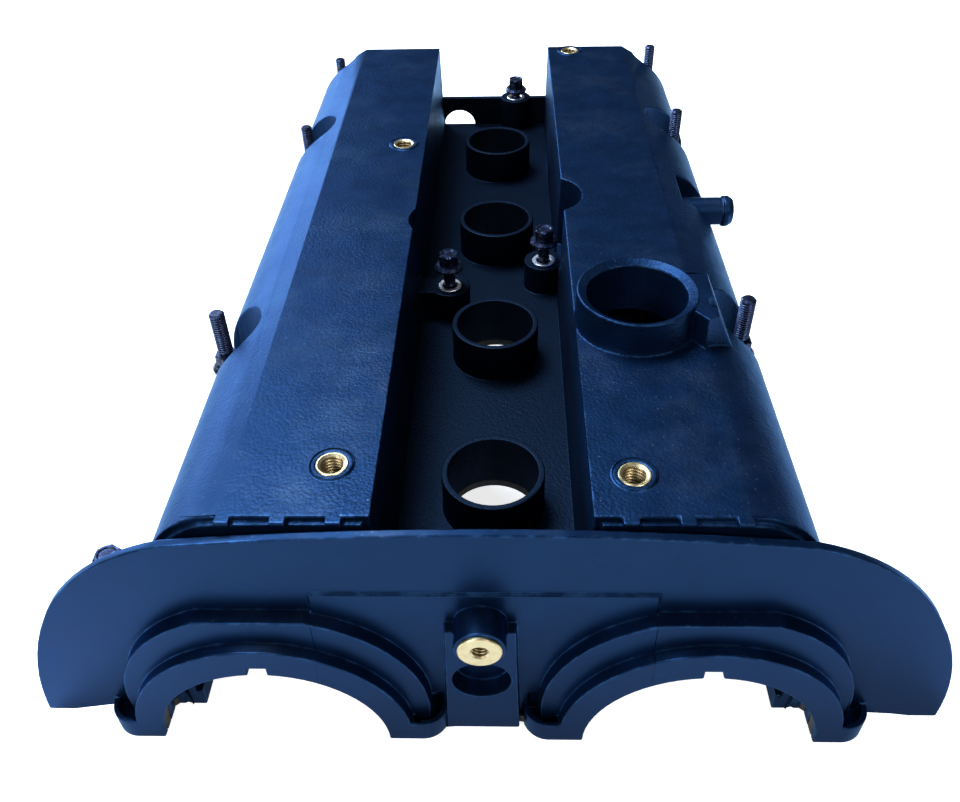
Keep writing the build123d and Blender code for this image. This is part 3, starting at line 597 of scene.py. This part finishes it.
def rubber_material():
    """Matt black rubber with a faint bloom and the flow marks of its mould."""
    material, tree, shader, vector = material_tree("moulded_rubber")
    bloom = ramp(tree, noise(tree, vector, 0.008, 5.0, 0.7), 0.45, 0.7)
    dust = placed_group(tree, DUST, vector, Amount=0.2)
    bloomed = blended(tree, bloom, RUBBER, RUBBER_BLOOM)
    tree.links.new(blended(tree, dust.outputs["Mask"], bloomed, RUBBER_DUST),
                   shader.inputs["Base Color"])
    tree.links.new(ramp(tree, noise(tree, vector, 0.002, 3.0), 0.3, 0.7, 0.55, 0.75),
                   shader.inputs["Roughness"])
    raised(tree, shader, noise(tree, vector, 0.0006, 3.0, 0.6), 0.00004)
    return material


rubber = rubber_material()
for name in ("perimeter_gasket", "left_island_seal", "right_island_seal", "plug_tube_seal_1",
             "plug_tube_seal_2", "plug_tube_seal_3", "plug_tube_seal_4"):
    piece = softened(name, THIN_EDGE)
    piece.data.materials.append(rubber)
    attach(piece, "cover")
    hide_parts(name)


# --- Bolt sleeves ---------------------------------------------------------------------------
# Zinc-plated steel tubes with a rolled flange, one in each bolt column. They take the clamping
# load, and the bolts turn in them.
ZINC = (0.92, 0.92, 0.96, 1.0)
ZINC_GREY = (0.70, 0.71, 0.78, 1.0)
SLEEVE_R = 0.0045
SLEEVE_BORE_R = 0.0032
SLEEVE_FLANGE_T = 0.0009
SLEEVE_MOUTH = 0.0004


def zinc_material():
    """Bright zinc, brushed in rings by the lathe, with a slight cloud."""
    material, tree, shader, vector = material_tree("bright_zinc")
    cloud = ramp(tree, noise(tree, vector, 0.003, 4.0, 0.6), 0.4, 0.75)
    tree.links.new(blended(tree, cloud, ZINC, ZINC_GREY), shader.inputs["Base Color"])
    tree.links.new(ramp(tree, noise(tree, vector, 0.001, 2.0), 0.3, 0.7, 0.32, 0.42),
                   shader.inputs["Roughness"])
    raised(tree, shader, lathe_marks(tree, 0.0003), 0.000002)
    shader.inputs["Metallic"].default_value = 1.0
    return material


zinc = zinc_material()
for row in ("front_left", "front_right", "middle_left", "middle_right", "rear_left", "rear_right",
            "plate_left", "plate_right", "valley_left", "valley_right", "rear_centre"):
    name = row + "_sleeve"
    low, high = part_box(name)
    length, rim_r = high[2] - low[2], (high[0] - low[0]) / 2
    tube = [(0.0, SLEEVE_BORE_R, ""), (length - SLEEVE_MOUTH, SLEEVE_BORE_R, ""),
            (length, SLEEVE_BORE_R + SLEEVE_MOUTH, ""), (length, rim_r - FLANGE_BREAK, ""),
            (length - FLANGE_BREAK, rim_r, ""), (length - SLEEVE_FLANGE_T, rim_r, ""),
            (length - SLEEVE_FLANGE_T, SLEEVE_R, ""), (0.0, SLEEVE_R, "")]
    centre = middle(name)
    piece = turned(name + "_finish", tube, zinc,
                   Matrix.Translation((centre.x, centre.y, low[2])), tube=True)
    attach(piece, "cover")
    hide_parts(name)


# --- Stud bolts and hexagon bolts -----------------------------------------------------------
# Cold-headed flange bolts with a rolled M6 thread and a waist, in black zinc that is rubbed in
# patches and carries a painted highlight on the thread crests. Six carry a second thread on the head.
# All are captive and slide in their sleeves.
PLATING = (0.010, 0.014, 0.034, 1.0)
# lighter colour for the rubbed patches and for the painted highlight on the thread crests
PLATING_RUBBED_AND_CREST_HIGHLIGHT = (0.080, 0.120, 0.260, 1.0)
SHANK = 0.063
WAIST = 0.034
WAIST_R = 0.0026
WAIST_SLOPE = 0.0004
BOLT_R = 0.00295
POINT = 0.0007
COLLAR_R = 0.0064
COLLAR_T = 0.0015
CONE_R = 0.0054
HEX_FOOT = 0.0023
HEX_H = 0.0054
HEX_CORNER_R = 0.0047
HEX_TOP = HEX_FOOT + HEX_H
HEX_BREAK = 0.0005
DISH_R = 0.0031
DISH_DEPTH = 0.0004
STUD_NECK = 0.0012
TINY_R = 0.0001


def plating_material():
    """Black zinc over steel: satin, blue in the light, rubbed bright in patches, with a painted
    highlight on the thread crests.
    """
    material, tree, shader, vector = material_tree("black_zinc_plating")
    rubbed = ramp(tree, noise(tree, vector, 0.0022, 5.0, 0.75), 0.45, 0.7, 0.0, 0.8)
    threaded = tree.nodes.new("ShaderNodeAttribute")
    threaded.attribute_name = "thread"
    crest = maths(tree, "SUBTRACT", threaded.outputs["Fac"], groove_mask(tree))
    # rubbed patches, and a painted highlight on the thread crests
    bright = maths(tree, "MAXIMUM", rubbed, ramp(tree, crest, 0.55, 0.95, 0.0, 0.85))
    tree.links.new(blended(tree, bright, PLATING, PLATING_RUBBED_AND_CREST_HIGHLIGHT), shader.inputs["Base Color"])
    tree.links.new(ramp(tree, noise(tree, vector, 0.0012, 3.0), 0.3, 0.7, 0.24, 0.42),
                   shader.inputs["Roughness"])
    raised(tree, shader, noise(tree, vector, 0.0005, 2.0), 0.00003)
    shader.inputs["Metallic"].default_value = 0.85
    return material


plating = plating_material()
SHANK_PROFILE = [(-SHANK, BOLT_R - POINT, ""), (POINT - SHANK, BOLT_R, "thread"),
                 (-WAIST, BOLT_R, "thread"), (WAIST_SLOPE - WAIST, WAIST_R, ""),
                 (-FLANGE_BREAK, WAIST_R, ""), (0.0, WAIST_R + FLANGE_BREAK, "")]
HEAD_PROFILE = [(0.0, COLLAR_R - FLANGE_BREAK, ""), (FLANGE_BREAK, COLLAR_R, ""),
                (COLLAR_T - FLANGE_BREAK, COLLAR_R, ""), (COLLAR_T, COLLAR_R - FLANGE_BREAK, ""),
                (HEX_FOOT, CONE_R, ""), (HEX_FOOT, HEX_CORNER_R, "hex"),
                (HEX_TOP - HEX_BREAK, HEX_CORNER_R, "hex"),
                (HEX_TOP, HEX_FLATS / 2 - RIM_BREAK, "hex")]
DISH_PROFILE = [(HEX_TOP, DISH_R, ""), (HEX_TOP - DISH_DEPTH, DISH_R - HEX_BREAK, ""),
                (HEX_TOP - DISH_DEPTH, TINY_R, "")]


def stud_profile(top):
    """The second thread, from the top of the hexagon up to a height."""
    return [(HEX_TOP, WAIST_R, ""), (HEX_TOP + STUD_NECK, WAIST_R, ""),
            (HEX_TOP + STUD_NECK, BOLT_R, "thread"), (top - POINT, BOLT_R, "thread"),
            (top, BOLT_R - POINT, ""), (top, TINY_R, "")]


for name in ("front_left_stud_bolt", "front_right_stud_bolt", "middle_left_stud_bolt",
             "middle_right_stud_bolt", "rear_left_stud_bolt", "rear_right_stud_bolt",
             "plate_left_bolt", "valley_left_bolt", "valley_right_bolt", "rear_centre_bolt"):
    low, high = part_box(name)
    seat = low[2] + SHANK
    if name.endswith("stud_bolt"):
        end = stud_profile(high[2] - seat)
    else:
        end = DISH_PROFILE
    centre = middle(name)
    piece = turned(name + "_finish", SHANK_PROFILE + HEAD_PROFILE + end, plating,
                   Matrix.Translation((centre.x, centre.y, seat)))
    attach(piece, name + "_body")
    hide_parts(name)


# --- Studio ---------------------------------------------------------------------------------
# A white light table in a white room, large softboxes at the rear left and above, weaker ones
# in front. The lens stands high in front of the timing end.
FLOOR_HALF = 6.0
FLOOR_Z = -0.0012            # clear of the bolts' tips at their lowest
TABLE_GLOW = 0.8
TABLE_BOUNCE = 0.15
PAPER = (0.93, 0.93, 0.93, 1.0)
PAPER_FIBRE = (0.95, 0.95, 0.95, 1.0)
floor_mesh = bpy.data.meshes.new("paper_floor")
floor_mesh.from_pydata([(x * FLOOR_HALF, y * FLOOR_HALF, FLOOR_Z)
                        for x, y in ((-1, -1), (1, -1), (1, 1), (-1, 1))], [], [(0, 1, 2, 3)])
paper_floor = linked("paper_floor", floor_mesh)
paper, tree, shader, vector = material_tree("white_paper")
tree.links.new(blended(tree, noise(tree, vector, 0.05, 3.0), PAPER, PAPER_FIBRE),
               shader.inputs["Base Color"])
shader.inputs["Roughness"].default_value = 0.85
seen = tree.nodes.new("ShaderNodeLightPath").outputs["Is Camera Ray"]
shader.inputs["Emission Strength"].default_value = 1.0
tree.links.new(blended(tree, seen, (TABLE_BOUNCE,) * 3 + (1.0,), (TABLE_GLOW,) * 3 + (1.0,)),
               shader.inputs["Emission Color"])
floor_mesh.materials.append(paper)


def softbox(name, place, target, size, power, colour=(1, 1, 1)):
    """Rectangular soft light at a place, facing a target."""
    data = bpy.data.lights.new(name, "AREA")
    data.shape = "RECTANGLE"
    data.size, data.size_y = size
    data.energy = power
    data.color = colour
    lamp = bpy.data.objects.new(name, data)
    lamp.location = place
    lamp.rotation_euler = (Vector(target) - Vector(place)).to_track_quat("-Z", "Y").to_euler()
    bpy.context.scene.collection.objects.link(lamp)


COOL = (0.62, 0.80, 1.0)
softbox("rear_left_softbox", (-1.4, 1.5, 0.66), (0, 0, 0.08), (1.5, 1.0), 49, COOL)
softbox("rear_top_softbox", (-0.45, 0.30, 1.35), (0, -0.1, 0.05), (0.8, 0.6), 48, COOL)
softbox("front_left_softbox", (-0.9, -1.1, 0.8), (0, 0, 0.05), (0.8, 0.5), 14)
softbox("front_right_softbox", (0.7, -1.0, 1.0), (0, 0, 0.05), (0.5, 0.5), 7)

ROOM_LIGHT = 0.12
ROOM_SEEN = 0.95
world = bpy.data.worlds.new("studio_room")
world.use_nodes = True
room = world.node_tree
seen = room.nodes.new("ShaderNodeLightPath").outputs["Is Camera Ray"]
backdrop = room.nodes["Background"]
backdrop.inputs["Color"].default_value = (0.97, 0.98, 1.0, 1)
room.links.new(maths(room, "ADD", maths(room, "MULTIPLY", seen, ROOM_SEEN - ROOM_LIGHT), ROOM_LIGHT),
               backdrop.inputs["Strength"])
bpy.context.scene.world = world

LENS_PLACE = Vector((0.0071, -0.35045, 0.2889))
YAW, PITCH, ROLL = math.radians(-2.22), math.radians(41.15), math.radians(-1.56)
lens = bpy.data.cameras.new("lens")
lens.sensor_width = 36.0
lens.lens = 33.69
lens.clip_start = 0.01
camera = bpy.data.objects.new("camera", lens)
ahead = Vector((math.sin(YAW) * math.cos(PITCH), math.cos(YAW) * math.cos(PITCH), -math.sin(PITCH)))
level = Vector((math.cos(YAW), -math.sin(YAW), 0.0))
upward = level.cross(ahead)
right = level * math.cos(ROLL) + upward * math.sin(ROLL)
top = upward * math.cos(ROLL) - level * math.sin(ROLL)
camera.matrix_world = Matrix((
    (right.x, top.x, -ahead.x, LENS_PLACE.x), (right.y, top.y, -ahead.y, LENS_PLACE.y),
    (right.z, top.z, -ahead.z, LENS_PLACE.z), (0, 0, 0, 1)))
bpy.context.scene.collection.objects.link(camera)
bpy.context.scene.camera = camera
bpy.context.scene.view_settings.view_transform = "Standard"
